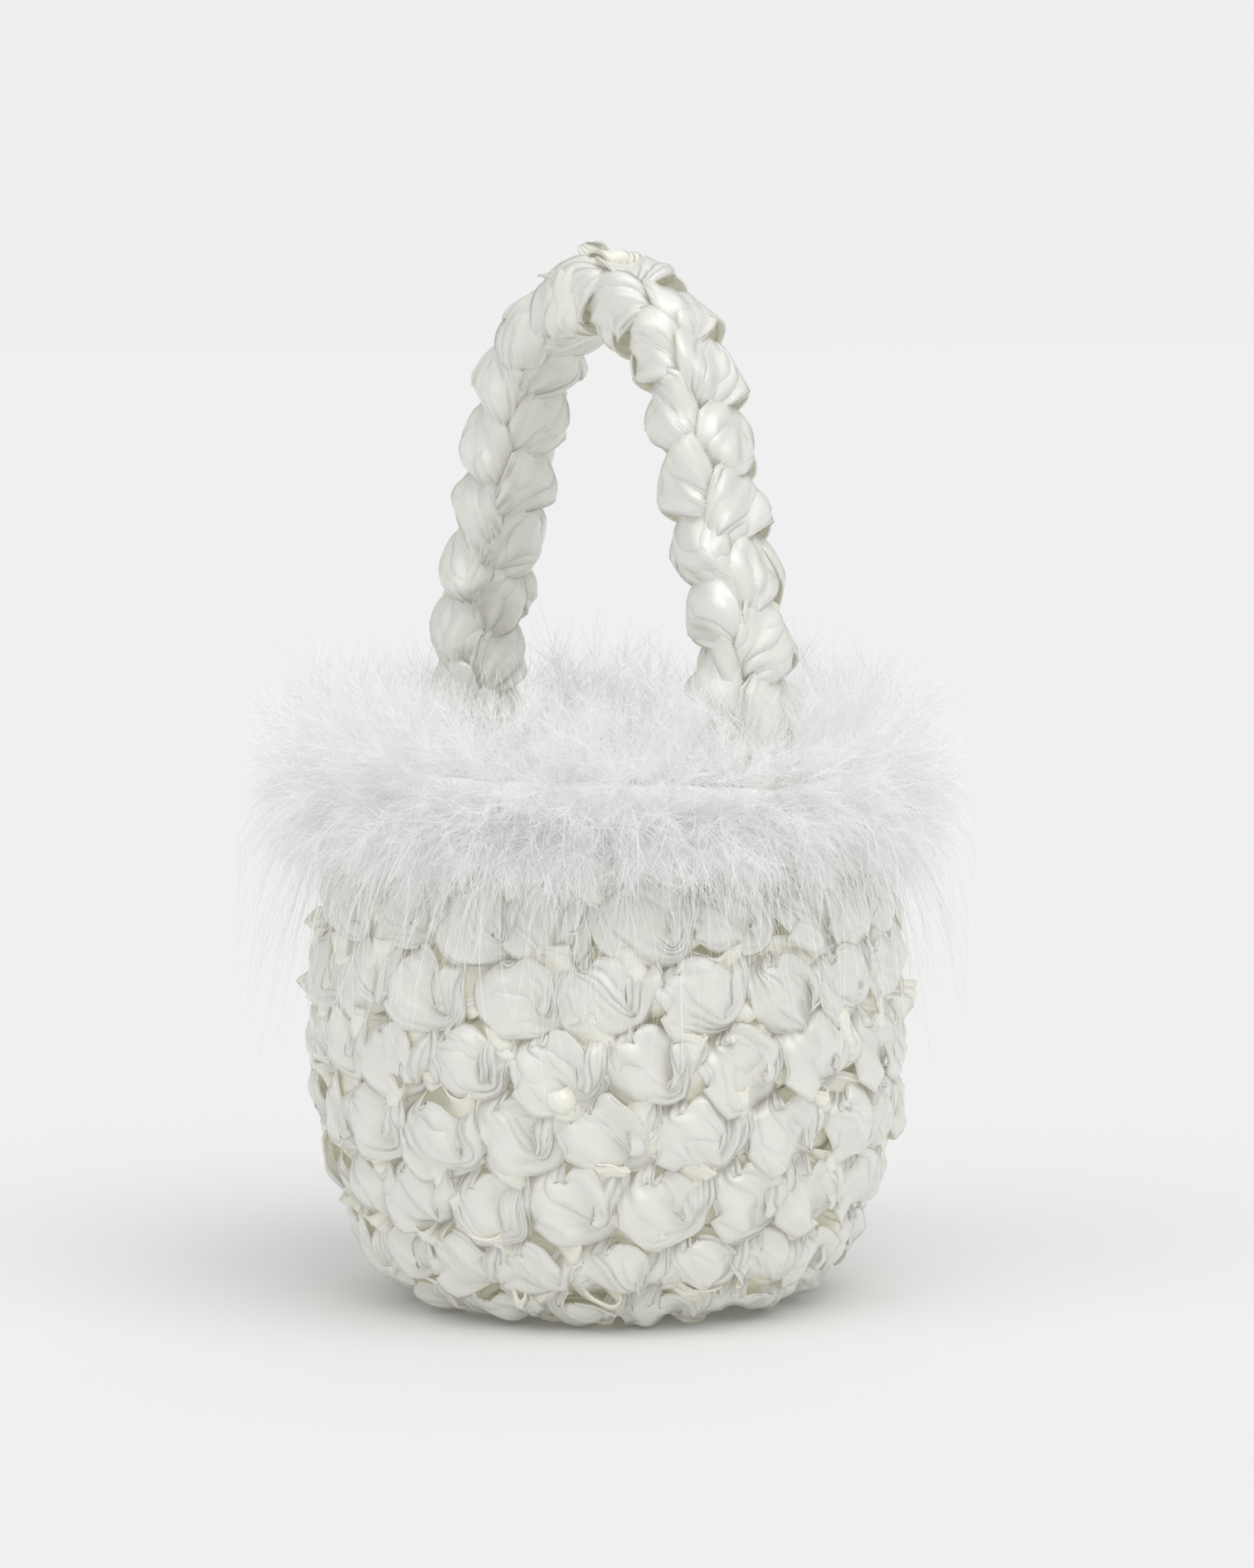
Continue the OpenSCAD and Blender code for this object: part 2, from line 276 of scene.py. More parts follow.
# %% Stations of the two ribbons in a stitch
# columns: along, up, out (mm) | width direction: along, up, out | half width, bulge, pleat (mm)
LEAF_STATIONS = np.array([
    [-4.0, 12.2, -5.0, 0.80, 0.25, 0.35, 3.0, 0.0, 0.8],
    [-7.4, 6.8, -0.8, 0.86, 0.50, 0.00, 6.0, 0.4, 1.0],
    [-3.4, 3.0, 1.0, 0.74, 0.66, 0.00, 12.6, 0.9, 1.5],
    [3.0, -2.6, 1.0, 0.60, 0.80, 0.00, 12.4, 0.9, 1.5],
    [9.6, -6.6, -1.2, 0.20, 0.90, 0.35, 5.0, 0.6, 1.2],
    [12.2, -2.6, -0.2, -0.66, 0.60, 0.45, 4.8, 1.4, 0.8],
    [13.2, 4.4, 0.1, -0.90, 0.40, -0.15, 5.4, 1.6, 0.8],
    [15.6, 10.8, -3.8, -0.60, -0.60, -0.50, 3.4, 0.3, 1.1],
    [20.5, 13.5, -6.6, 0.10, -0.85, -0.50, 3.0, 0.0, 1.1],
])
LOOP_STATIONS = np.array([
    [1.0, 8.0, -6.0, 0.10, 0.98, 0.20, 8.0, 0.0, 0.9],
    [9.0, 5.5, -3.6, -0.25, 0.92, 0.30, 11.0, 1.6, 0.7],
    [16.0, 4.0, -3.2, -0.50, 0.85, 0.15, 11.2, 2.2, 0.7],
    [22.0, 5.5, -5.4, -0.40, 0.85, -0.30, 8.0, 0.6, 1.0],
])
STITCH_PITCH = 28.0  # mm along the round that the stations are drawn for
STITCH_ROUND = 21.0  # mm up the fabric
CORNER = 0.95        # how far the ribbon's width runs straight between stations: 1 gives sharp corners
S_FOLD = 3.2         # mm that the slanting fold across a leaf rises and sinks
PLEAT_WAVES = 1.55   # half waves of pleats from the ribbon's middle to its selvedge
LIP_FROM = 0.62      # share of the half width at which a turned selvedge begins
STITCH_DRIFT = [1.5, 1.1, 0.4]    # mm that a whole stitch strays: along, up, out
STATION_DRIFT = [0.6, 0.6, 0.25]  # mm that one station strays
WIDTH_DRIFT = [0.14, 0.14, 0.07]  # how far a station's width direction turns


def ribbon_grid(stations, stitches, pitch, height, rng, steps, cols, place, phase=0.0):
    """Grid of middle points of one endless ribbon: the stations of every stitch in turn, each moved a
    little at random, joined by a closed smooth curve. Across the ribbon, a point lies at
    middle + width direction * half width * v + normal * (bulge * (1 - v^2) + pleat * fold + lip).
    The fold is a row of narrow ridges, the lip turns one selvedge of each stitch up or down, and the
    S-fold is one slow wave that crosses the leaf at a slant.
    place turns (along, up, out) in metres into points in space."""
    per = len(stations)
    table = np.tile(stations, (stitches, 1)).reshape(stitches, per, 9)
    table[..., 0:3] += rng.normal(0, STITCH_DRIFT, (stitches, 3))[:, None]
    table[..., 0:3] += rng.normal(0, STATION_DRIFT, (stitches, per, 3))
    table[..., 3:6] += rng.normal(0, WIDTH_DRIFT, (stitches, per, 3))
    table[..., 6] *= rng.uniform(0.88, 1.12, (stitches, per))
    table[..., 7] *= rng.uniform(0.7, 1.35, (stitches, 1))
    table[..., 8] *= rng.uniform(0.6, 1.5, (stitches, per))
    scale_along, scale_up = pitch / STITCH_PITCH, height / STITCH_ROUND
    table[..., 0:2] *= (scale_along, scale_up)
    table[..., 6:8] *= 0.5 * (scale_along + scale_up)
    table[..., 0] += (np.arange(stitches)[:, None] + phase) * pitch
    flat = table.reshape(-1, 9)
    total = stitches * pitch
    flat[:, 0] -= np.arange(len(flat)) * total / len(flat)
    curve = catmull_rom(flat, steps, closed=True)
    straight = np.interp(np.arange(len(curve)) / steps, np.arange(len(flat) + 1),
                         np.append(flat[:, 6], flat[0, 6]))
    curve[:, 6] = CORNER * straight + (1 - CORNER) * curve[:, 6]
    curve[:, 0] += np.arange(len(curve)) * total / len(curve)
    middle = curve[:, 0:3]
    ahead = np.roll(middle, -1, axis=0) - np.roll(middle, 1, axis=0)
    ahead[:, 0] = (ahead[:, 0] + total / 2) % total - total / 2
    ahead = unit(ahead)
    width = curve[:, 3:6]
    width = unit(width - ahead * np.sum(width * ahead, axis=1, keepdims=True))
    normal = np.cross(ahead, width)
    v = np.linspace(-1, 1, cols)[None, :, None]
    half_width, bulge, pleat = (curve[:, column][:, None, None] for column in (6, 7, 8))
    rows_each = len(curve) // stitches
    stitch_of = np.arange(len(curve)) // rows_each
    through = ((np.arange(len(curve)) % rows_each) / rows_each)[:, None, None]
    shift_v = rng.uniform(-1.5, 1.5, stitches)[stitch_of][:, None, None]
    ridge = np.abs(np.sin(PLEAT_WAVES * math.pi * v + shift_v))
    fold = (0.5 - ridge) * (0.45 + 0.55 * np.abs(v))
    lip_size = rng.uniform(-0.8, 1.3, stitches)[stitch_of][:, None, None]
    lip = lip_size * np.clip((v - LIP_FROM) / 0.38, 0, 1) ** 2 * half_width / 12
    fold_size = (rng.uniform(0.5, 1.0, stitches) * S_FOLD)[stitch_of][:, None, None]
    fold_start = rng.uniform(0, 2 * math.pi, stitches)[stitch_of][:, None, None]
    s_fold = fold_size * np.sin(math.pi * through) ** 2 * np.sin(3.3 * v + 9.0 * through + fold_start)
    s_fold = s_fold * half_width / 11
    rise = bulge * (1 - v**2) + pleat * fold + lip + s_fold
    grid = middle[:, None] + width[:, None] * half_width * v + normal[:, None] * rise
    return place(grid * MM)


print(len(LEAF_STATIONS), "stations for a leaf,", len(LOOP_STATIONS), "for the loop behind it")

# %% [markdown]
# ## Finishes
# Satin is a weave in which long floating threads lie side by side, so it shines broadly along them and
# shows fine slanting lines close up. Its two selvedges are woven tighter and look like rows of beads.
# Both effects are one node group, read from the ribbon's own UV map in metres, so the weave turns and
# bends with the ribbon. The down and the lining get plain soft materials of their own.
# Thin ribbon, cloth and down let light through. A transmission shader would show that; here a small
# emission in the piece's own colour stands in for it. This emission is painted light, and it also lifts the
# shade in the crevices of the crochet, in the gaps where the lining shows and deep in the down.

# %% Node helpers
def new_material(name, colour):
    """A node material with a Principled BSDF, and its plain viewport colour."""
    material = bpy.data.materials.new(name)
    material.use_nodes = True
    material.diffuse_color = (*colour, 1.0)
    shader = material.node_tree.nodes["Principled BSDF"]
    shader.inputs["Base Color"].default_value = (*colour, 1.0)
    return material, material.node_tree, shader


def set_sockets(tree, node, inputs):
    """Gives each input, by name or number, its value or the other node's output that drives it."""
    for key, value in inputs.items():
        if isinstance(value, bpy.types.NodeSocket):
            tree.links.new(value, node.inputs[key])
        else:
            node.inputs[key].default_value = value


def add_node(tree, kind, inputs=None, **settings):
    """A new node with its settings and its inputs."""
    node = tree.nodes.new(kind)
    for key, value in settings.items():
        setattr(node, key, value)
    set_sockets(tree, node, inputs or {})
    return node


def maths(tree, operation, *values):
    """One Math node and its output."""
    return add_node(tree, "ShaderNodeMath", dict(enumerate(values)), operation=operation).outputs[0]


def mixed_colour(tree, factor, first, second, **settings):
    """Output of a colour mix. Only the second colour may be another node's output."""
    if not isinstance(second, bpy.types.NodeSocket):
        second = (*second, 1.0)
    inputs = {"Factor": factor, "A": (*first, 1.0), "B": second}
    return add_node(tree, "ShaderNodeMix", inputs, data_type="RGBA", **settings).outputs["Result"]


def new_group(name, inputs, outputs):
    """An empty shader node group with named sockets, given as (name, kind, value)."""
    group = bpy.data.node_groups.new(name, "ShaderNodeTree")
    for socket, kind, value in inputs:
        made = group.interface.new_socket(socket, in_out="INPUT", socket_type=kind)
        if value is not None:
            made.default_value = value
    for socket, kind in outputs:
        group.interface.new_socket(socket, in_out="OUTPUT", socket_type=kind)
    return group, group.nodes.new("NodeGroupInput"), group.nodes.new("NodeGroupOutput")


print("node helpers:", [helper.__name__ for helper in (add_node, maths, mixed_colour, new_group)])

# %% The weave of a ribbon, as a node group
def make_weave_group():
    """Height of the weave in 0..1 from slanting sine ridges, a mask of the two beaded selvedges, slow
    clouds, and creases: the size of a noise that is drawn out along the ribbon, so each crease is a
    crisp valley line."""
    group, source, sink = new_group(
        "ribbon_weave",
        [("Vector", "NodeSocketVector", None), ("Ridges per mm", "NodeSocketFloat", 1.6)],
        [("Height", "NodeSocketFloat"), ("Selvedge", "NodeSocketFloat"), ("Cloudiness", "NodeSocketFloat"),
         ("Crease", "NodeSocketFloat")],
    )
    in_mm = add_node(group, "ShaderNodeVectorMath", {0: source.outputs["Vector"], 1: (1000, 1000, 1000)},
                     operation="MULTIPLY").outputs[0]
    parts = add_node(group, "ShaderNodeSeparateXYZ", {0: in_mm})
    along, across = parts.outputs[0], parts.outputs[1]
    turn = maths(group, "MULTIPLY", source.outputs["Ridges per mm"], 2 * math.pi)
    slant = maths(group, "ADD", along, maths(group, "MULTIPLY", across, 0.7))
    ridges = maths(group, "SINE", maths(group, "MULTIPLY", slant, turn))
    floats = maths(group, "SINE", maths(group, "MULTIPLY", across, maths(group, "MULTIPLY", turn, 1.3)))
    weave = maths(group, "MULTIPLY_ADD", maths(group, "ADD", ridges, floats), 0.25, 0.5)
    from_middle = maths(group, "ABSOLUTE", maths(group, "SUBTRACT", across, 0.5 * RIBBON_W / MM))
    edge = add_node(group, "ShaderNodeMapRange", {0: from_middle, 1: 11.6, 2: 12.1, 3: 0.0, 4: 1.0},
                    interpolation_type="SMOOTHSTEP").outputs[0]
    beads = maths(group, "MULTIPLY_ADD", maths(group, "SINE", maths(group, "MULTIPLY", along, 7.0)), 0.5, 0.5)
    edge_height = maths(group, "MULTIPLY", edge, maths(group, "MULTIPLY_ADD", beads, 2.0, 1.5))
    cloud = add_node(group, "ShaderNodeTexNoise", {"Vector": in_mm, "Scale": 0.12, "Detail": 2.0})
    drawn = add_node(group, "ShaderNodeCombineXYZ", {0: maths(group, "MULTIPLY", along, 0.045),
                                                    1: maths(group, "MULTIPLY", across, 0.10)}).outputs[0]
    crease = add_node(group, "ShaderNodeTexNoise",
                      {"Vector": drawn, "Scale": 1.0, "Detail": 0.6, "Distortion": 0.9})
    sharp = maths(group, "ABSOLUTE", maths(group, "SUBTRACT", crease.outputs["Fac"], 0.5))
    rounded = maths(group, "POWER", maths(group, "MULTIPLY", sharp, 2.0), 0.8)
    set_sockets(group, sink, {"Height": maths(group, "ADD", weave, edge_height), "Selvedge": edge,
                              "Cloudiness": cloud.outputs["Fac"], "Crease": rounded})
    return group


def make_satin(name, light_colour, deep_colour, weave_depth, crease_depth, painted_glow, gloss):
    """Ivory satin: the weave group drives two bumps, creases and threads, the selvedge and slow clouds
    the colour. The emission in the deep colour is painted light: it stands in for the light that passes
    through one thickness of ribbon and lifts the shade in the crevices."""
    material, tree, shader = new_material(name, light_colour)
    uv = add_node(tree, "ShaderNodeUVMap", uv_map="ribbon")
    weave = add_node(tree, "ShaderNodeGroup", {"Vector": uv.outputs["UV"]}, node_tree=WEAVE).outputs
    amount = maths(tree, "MULTIPLY_ADD", weave["Selvedge"], 0.35,
                   maths(tree, "MULTIPLY", weave["Cloudiness"], 0.35))
    creases = add_node(tree, "ShaderNodeBump", {"Height": weave["Crease"], "Distance": crease_depth})
    bump = add_node(tree, "ShaderNodeBump", {"Height": weave["Height"], "Distance": weave_depth,
                                              "Strength": 0.6, "Normal": creases.outputs["Normal"]})
    set_sockets(tree, shader, {
        "Base Color": mixed_colour(tree, amount, light_colour, deep_colour),
        "Roughness": maths(tree, "MULTIPLY_ADD", weave["Height"], 0.06, 0.22),
        "Normal": bump.outputs["Normal"],
        "Specular IOR Level": 1.0,
        "Coat Weight": gloss,
        "Coat Roughness": 0.26,
        "Emission Color": (*deep_colour, 1.0),
        "Emission Strength": painted_glow,
    })
    return material


WEAVE = make_weave_group()
# The satin's emission is painted light that lifts the shade in the crevices of the crochet.
SATIN = make_satin("ivory_satin", (0.80, 0.797, 0.757), (0.80, 0.79, 0.70), 0.0001, 0.0019, 0.095, 1.0)
# The deep copy is lighter, creamier and has a stronger emission than the satin: painted light that lifts the
# shade on the ribbons' backs and the loops behind. Its weaker coat is the duller back of real satin.
SATIN_DEEP_PAINTED_LIGHT = make_satin("ivory_satin_deep_painted_light", (0.865, 0.86, 0.785), (0.90, 0.885, 0.74), 0.0001, 0.002,
                        0.12, 0.3)
print("satin ready:", SATIN.name)

# %% Lining cloth, down, cord, wire and board
def make_cloth(name, colour, ridges_per_mm, depth, painted_glow=0.0):
    """Plain-weave cloth: crossed sine ridges in object space as a bump, with faint clouds in the colour.
    Above zero, the emission is painted light: it stands in for light that comes through thin cloth from
    behind and lifts the shade where the lining shows between the leaves."""
    material, tree, shader = new_material(name, colour)
    place = add_node(tree, "ShaderNodeTexCoord").outputs["Object"]
    noise = add_node(tree, "ShaderNodeTexNoise", {"Vector": place, "Scale": 60.0, "Detail": 3.0})
    shaded = tuple(0.9 * part for part in colour)
    waves = [
        add_node(tree, "ShaderNodeTexWave",
                 {"Vector": place, "Scale": ridges_per_mm * 1000 * 0.314, "Distortion": 0.4},
                 wave_type="BANDS", bands_direction=way).outputs["Fac"]
        for way in ("X", "Z")
    ]
    bump = add_node(tree, "ShaderNodeBump", {"Height": maths(tree, "ADD", *waves), "Distance": depth})
    set_sockets(tree, shader, {
        "Base Color": mixed_colour(tree, noise.outputs["Fac"], colour, shaded),
        "Normal": bump.outputs["Normal"],
        "Roughness": 0.85,
        "Emission Color": (*colour, 1.0),
        "Emission Strength": painted_glow,
    })
    return material


def make_down(name, colour, painted_glow):
    """Marabou down: very pale and matt, each barb a little different by a fine noise.
    The emission is painted light: it stands in for the light that passes through the fine barbs, which
    flat strips would stop, and brightens the shade inside the down."""
    material, tree, shader = new_material(name, colour)
    place = add_node(tree, "ShaderNodeTexCoord").outputs["Object"]
    noise = add_node(tree, "ShaderNodeTexNoise", {"Vector": place, "Scale": 300.0, "Detail": 2.0})
    ramp = add_node(tree, "ShaderNodeMapRange", {0: noise.outputs["Fac"], 3: 0.93, 4: 1.02})
    set_sockets(tree, shader, {
        "Base Color": mixed_colour(tree, 1.0, colour, ramp.outputs[0], blend_type="MULTIPLY"),
        "Roughness": 0.65,
        "Sheen Weight": 0.3,
        "Specular IOR Level": 0.3,
        "Emission Color": (*colour, 1.0),
        "Emission Strength": painted_glow,
    })
    return material


def make_wire(name, colour):
    """Drawn metal wire, a little rougher in some places than in others."""
    material, tree, shader = new_material(name, colour)
    place = add_node(tree, "ShaderNodeTexCoord").outputs["Object"]
    noise = add_node(tree, "ShaderNodeTexNoise", {"Vector": place, "Scale": 900.0})
    rough = maths(tree, "MULTIPLY_ADD", noise.outputs["Fac"], 0.3, 0.25)
    set_sockets(tree, shader, {"Metallic": 1.0, "Roughness": rough})
    return material


# The lining's emission is painted light that lifts the shade in the gaps between the leaves.
LINING = make_cloth("cream_lining", (0.90, 0.885, 0.79), 1.5, 0.0001, painted_glow=0.03)
# The down's emission is painted light that brightens the shade inside the boa.
DOWN = make_down("white_down", (0.96, 0.96, 0.962), 0.068)
CORD = make_cloth("white_cord", (0.86, 0.85, 0.80), 1.0, 0.0002)
THREAD = make_cloth("ivory_thread", (0.85, 0.84, 0.79), 3.0, 0.0001)
BOARD = make_cloth("pale_board", (0.78, 0.76, 0.68), 0.5, 0.0001)
WIRE = make_wire("hoop_wire", (0.55, 0.55, 0.57))
print("finishes:", [m.name for m in bpy.data.materials])

# %% [markdown]
# ## The crocheted rounds
# Each round is laid round the belly at its own arc length, and shifted along by a little under half a
# stitch against the round below, because a stitch is worked between two older ones. The rounds of the
# base have fewer stitches. Points that would go through the floor rest on it.

# %% Lay the rounds on the belly
FLOOR_Z = 0.3 * MM      # lowest height of a ribbon's middle: it rests on the floor
CENTRE_ROOM = 0.5 * MM  # how near a ribbon may come to the middle of the base
WALL_SINK = 2.6         # mm that the wall's stitches are set into the outline
BASE_SINK = 2.4         # and the base's
WALL_SHIFT = 0.45       # stitches that a round of the wall is moved along against the one below
BASE_SHIFT = 0.3        # and one of the base
BASE_ROUNDS = {"base_round_2": 15, "base_round_1": 10, "base_centre": 5}  # stitches in each


def wall_placer(s_middle):
    """Turns (along, up, out) into a point on the belly: the angle is along / radius of the round's middle,
    the outline gives radius and height at the arc length, and out follows the outline's normal."""
    middle_r = on_outline(s_middle)[0]

    def place(grid):
        r, z, normal_r, normal_z = on_outline(np.maximum(s_middle + grid[..., 1], CENTRE_ROOM))
        angle = grid[..., 0] / middle_r
        radius = np.maximum(r + grid[..., 2] * normal_r, CENTRE_ROOM)
        height = np.maximum(z + grid[..., 2] * normal_z, FLOOR_Z)
        return np.stack([radius * np.cos(angle), radius * np.sin(angle), height], axis=-1)

    return place


def crocheted_round(name, s_middle, stitches, phase, rng, sink):
    """One round: the front ribbon of leaves and the ribbon of loops behind it, as one object."""
    pitch = 2 * math.pi * on_outline(s_middle)[0] / stitches / MM
    height = round_h / MM
    place = wall_placer(s_middle)
    leaf, loop = LEAF_STATIONS.copy(), LOOP_STATIONS.copy()
    leaf[:, 2] -= sink
    loop[:, 2] -= sink
    front = ribbon_grid(leaf, stitches, pitch, height, rng, 5, 15, place, phase=phase)
    behind = ribbon_grid(loop, stitches, pitch, height, rng, 6, 9, place, phase=phase)
    # The loops behind wear the satin's deep copy: painted light in the shade between the leaves.
    obj = ribbon_object(name, [ribbon_shell(front, True), deep_shell(ribbon_shell(behind, True))])
    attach(obj, "basket")
    return obj


rng = np.random.default_rng(SEED)
wall_s = [s_at_height(z) for z in ring_sizes[:, 1]]
rounds = []
for number, node in enumerate(WALL_ROUNDS):
    shift = WALL_SHIFT * number
    piece = crocheted_round(f"ribbon_{node}", wall_s[number], WALL_STITCHES, shift, rng, WALL_SINK)
    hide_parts(node)
    rounds.append(piece)
for number, (node, stitches) in enumerate(BASE_ROUNDS.items()):
    base_s = wall_s[0] - (number + 1) * round_h
    piece = crocheted_round(f"ribbon_{node}", base_s, stitches, BASE_SHIFT * number, rng, BASE_SINK)
    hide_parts(node)
    rounds.append(piece)
print("rounds:", {piece.name: len(piece.data.polygons) for piece in rounds})

# %% [markdown]
# ## The handle
# The handle is worked in the same ribbon as a narrow tube. Its stitches lie in two plaits, one on each
# side of the thick flat section: leaves from the left and from the right slant down to a centre line and
# lock there in a V, each tip over the root of the leaf below it. The band's middle line rises from the
# rim, bends inwards at the shoulder, leans in and turns over at the crown, and each half is worked up
# from its own root, which starts a little below the rim.

# %% Middle line and section of the band
BAND_LEAN = math.radians(18)
BAND_BEND_R = 0.100
BAND_CROWN_R = 0.044
BAND_STITCHES = 4
root_low, root_high = (np.array(corner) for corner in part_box("handle_root_right"))
leg_x = float(0.5 * (root_low[0] + root_high[0]))
band_half_t = float(0.5 * (root_high[0] - root_low[0]))
band_half_w = 12.5 * MM
crown_mid_z = float(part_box("handle_band")[1][2]) - band_half_t


def band_line():
    """Right half of the band's middle line as (x, z) points: upright, bend, lean and crown arc.
    The lean is as long as it takes to reach the crown arc, and the shoulder's height follows from it."""
    bend = np.linspace(0, BAND_LEAN, 20)
    arc = np.linspace(BAND_LEAN, math.pi / 2, 40)
    lean_x = leg_x - BAND_BEND_R * (1 - math.cos(BAND_LEAN))
    lean_len = (lean_x - BAND_CROWN_R * math.cos(BAND_LEAN)) / math.sin(BAND_LEAN)
    rise = (BAND_BEND_R * math.sin(BAND_LEAN) + lean_len * math.cos(BAND_LEAN)
            - BAND_CROWN_R * math.sin(BAND_LEAN) + BAND_CROWN_R)
    shoulder_z = crown_mid_z - rise
    crown_z = crown_mid_z - BAND_CROWN_R
    upright_z = np.linspace(rim_z - 4 * MM, shoulder_z, 12, endpoint=False)
    upright = np.stack([np.full(12, leg_x), upright_z], 1)
    bend_x = leg_x - BAND_BEND_R * (1 - np.cos(bend))
    bend_part = np.stack([bend_x, shoulder_z + BAND_BEND_R * np.sin(bend)], 1)
    arc_part = np.stack([BAND_CROWN_R * np.cos(arc), crown_z + BAND_CROWN_R * np.sin(arc)], 1)
    return np.vstack([upright, bend_part, arc_part])


band_points = band_line()
band_s = np.concatenate([[0], np.cumsum(np.linalg.norm(np.diff(band_points, axis=0), axis=1))])
band_along = unit(np.gradient(band_points, band_s, axis=0))
band_along[-1] = (-1.0, 0.0)
band_out = np.stack([band_along[:, 1], -band_along[:, 0]], axis=1)
section_angle = np.linspace(0, 2 * math.pi, 721)


def superellipse(angle):
    """Two factors of a rounded rectangle: the square roots of the sizes of cosine and sine, signs kept."""
    c, s = np.cos(angle), np.sin(angle)
    return np.sign(c) * np.sqrt(np.abs(c)), np.sign(s) * np.sqrt(np.abs(s))


section_x, section_y = superellipse(section_angle)
section_step = np.hypot(np.diff(section_x) * band_half_t, np.diff(section_y) * band_half_w)
section_s = np.concatenate([[0], np.cumsum(section_step)])
band_round = float(section_s[-1])
print("half a band:", round(band_s[-1] * 1000, 1), "mm long,", round(band_round * 1000, 1), "mm round")


def band_placer(s_middle, half):
    """Turns (along, up, out) into a point on the band: up moves along the middle line, along goes round
    the section by arc length, and out widens the section. half is 1 for the right leg, -1 for the left."""
    def place(grid):
        s = np.maximum(s_middle + grid[..., 1], 0)
        over = np.maximum(s - band_s[-1], 0)
        s = np.minimum(s, band_s[-1])
        x = np.interp(s, band_s, band_points[:, 0]) - over
        z = np.interp(s, band_s, band_points[:, 1])
        out_x = np.interp(s, band_s, band_out[:, 0])
        out_z = np.interp(s, band_s, band_out[:, 1])
        angle = np.interp(np.mod(grid[..., 0], band_round), section_s, section_angle)
        thick_part, wide_part = superellipse(angle)
        reach = (band_half_t + grid[..., 2]) * thick_part
        side = (band_half_w + grid[..., 2]) * wide_part
        return np.stack([half * (x + reach * out_x), half * side, z + reach * out_z], axis=-1)

    return place


# %% Leaves of the plait
# columns: distance along the leaf, out, half width, bulge, pleat (mm)
PLAIT_LEAF = np.array([
    [-17.0, -5.5, 3.0, 0.0, 0.6],
    [-11.5, -1.0, 8.4, 0.2, 0.7],
    [-3.0, 1.2, 11.6, 0.6, 1.0],
    [5.0, 1.6, 9.0, 1.0, 1.0],
    [12.0, -0.2, 4.6, 0.8, 1.0],
    [17.0, -5.0, 2.6, 0.0, 0.6],
])
PLAIT_SLANT = math.radians(33)
PLAIT_CENTRES = (-0.105, 0.395)  # centre lines of the two plaits, as shares of the way round the band
PLAIT_REACH = 0.46  # share of a stitch that a leaf's middle lies beside its centre line
BAND_ROW = 20.4 * MM
CROWN_OVERRUN = 4 * MM  # how far past the crown a leaf may start
print(len(PLAIT_LEAF), "stations for a leaf of the plait, slant", round(math.degrees(PLAIT_SLANT)), "degrees")


def plait_leaf(along, up, side, place, rng):
    """One open leaf whose axis runs down and in towards the centre line; side is -1 left of it, 1 right.
    A point is centre + axis * distance + width direction * half width * v, raised by bulge and pleats."""
    stations = PLAIT_LEAF + rng.normal(0, 1, PLAIT_LEAF.shape) * [0.9, 0.25, 0.6, 0.25, 0.2]
    curve = catmull_rom(stations, 6)
    width = np.interp(np.arange(len(curve)) / 6, np.arange(len(stations)), stations[:, 2])
    half = (CORNER * width + (1 - CORNER) * curve[:, 2])[:, None]
    slant = PLAIT_SLANT + rng.normal(0, 0.10)
    axis = np.array([-side * math.sin(slant), -math.cos(slant)])
    across = np.array([axis[1], -axis[0]])
    v = np.linspace(-1, 1, 15)[None, :]
    through = np.linspace(0, 1, len(curve))[:, None]
    wave_size = rng.uniform(0.7, 1.5) * np.sin(math.pi * through) ** 2
    wave = wave_size * np.sin(3.1 * v + 7 * through + rng.uniform(0, 6.3))
    pleat = curve[:, 4][:, None] * (0.5 - np.abs(np.sin(1.6 * math.pi * v + rng.uniform(-1, 1))))
    lip = rng.uniform(0.2, 1.3) * np.clip((side * v - 0.6) / 0.4, 0, 1) ** 2 * half / 10
    out = curve[:, 1][:, None] + curve[:, 3][:, None] * (1 - v**2) + pleat + wave + lip
    spot = curve[:, 0][:, None] * axis[:, None, None] + (half * v) * across[:, None, None]
    grid = np.stack([along / MM + spot[0], up / MM + spot[1], out], axis=-1)
    return place(grid * MM)[:, ::-1]


# %% Work the two halves of the handle
def crocheted_band(name, half, rng):
    """One leg up to the crown as one object: rows of loops as a ground, and the leaves of both plaits."""
    shells = []
    rows = int(math.ceil(band_s[-1] / BAND_ROW))
    row_height = band_s[-1] / rows
    pitch = band_round / BAND_STITCHES
    for row in range(rows):
        loop = LOOP_STATIONS.copy()
        loop[:, 2] = loop[:, 2] * 0.5 - 3.0
        loop[:, 6] *= 0.8
        place = band_placer((row + 0.45) * row_height, half)
        grid = ribbon_grid(loop, BAND_STITCHES, pitch / MM, BAND_ROW / MM, rng, 5, 9, place,
                           phase=0.3 * (row % 2))
        # The ground loops wear the satin's deep copy: painted light in the shade under the leaves.
        shells.append(deep_shell(ribbon_shell(grid, True)))
    place = band_placer(0.0, half)
    for row in range(rows + 1):
        for plait, centre in enumerate(PLAIT_CENTRES):
            for side in (-1, 1):
                up = (row + 0.25 + 0.25 * side + 0.5 * plait) * row_height
                if up > band_s[-1] + CROWN_OVERRUN:
                    continue
                along = (centre % 1) * band_round + side * PLAIT_REACH * pitch + rng.normal(0, 0.5 * MM)
                shells.append(ribbon_shell(plait_leaf(along, up, side, place, rng), False))
    return ribbon_object(name, shells)


rng = np.random.default_rng(SEED + 1)
handle_halves = []
for name, half in (("ribbon_handle_right", 1), ("ribbon_handle_left", -1)):
    piece = crocheted_band(name, half, rng)
    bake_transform(piece)
    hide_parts("handle_band", "handle_root_right" if half > 0 else "handle_root_left")
    handle_halves.append(piece)
print("handle:", {piece.name: len(piece.data.polygons) for piece in handle_halves})

# %% [markdown]
# ## The crown
# Where the two halves meet, the last ribbon goes round the band once and is tied off. Its pinched end
# stands up as a small leaf, and the loop next to it is left round and full.

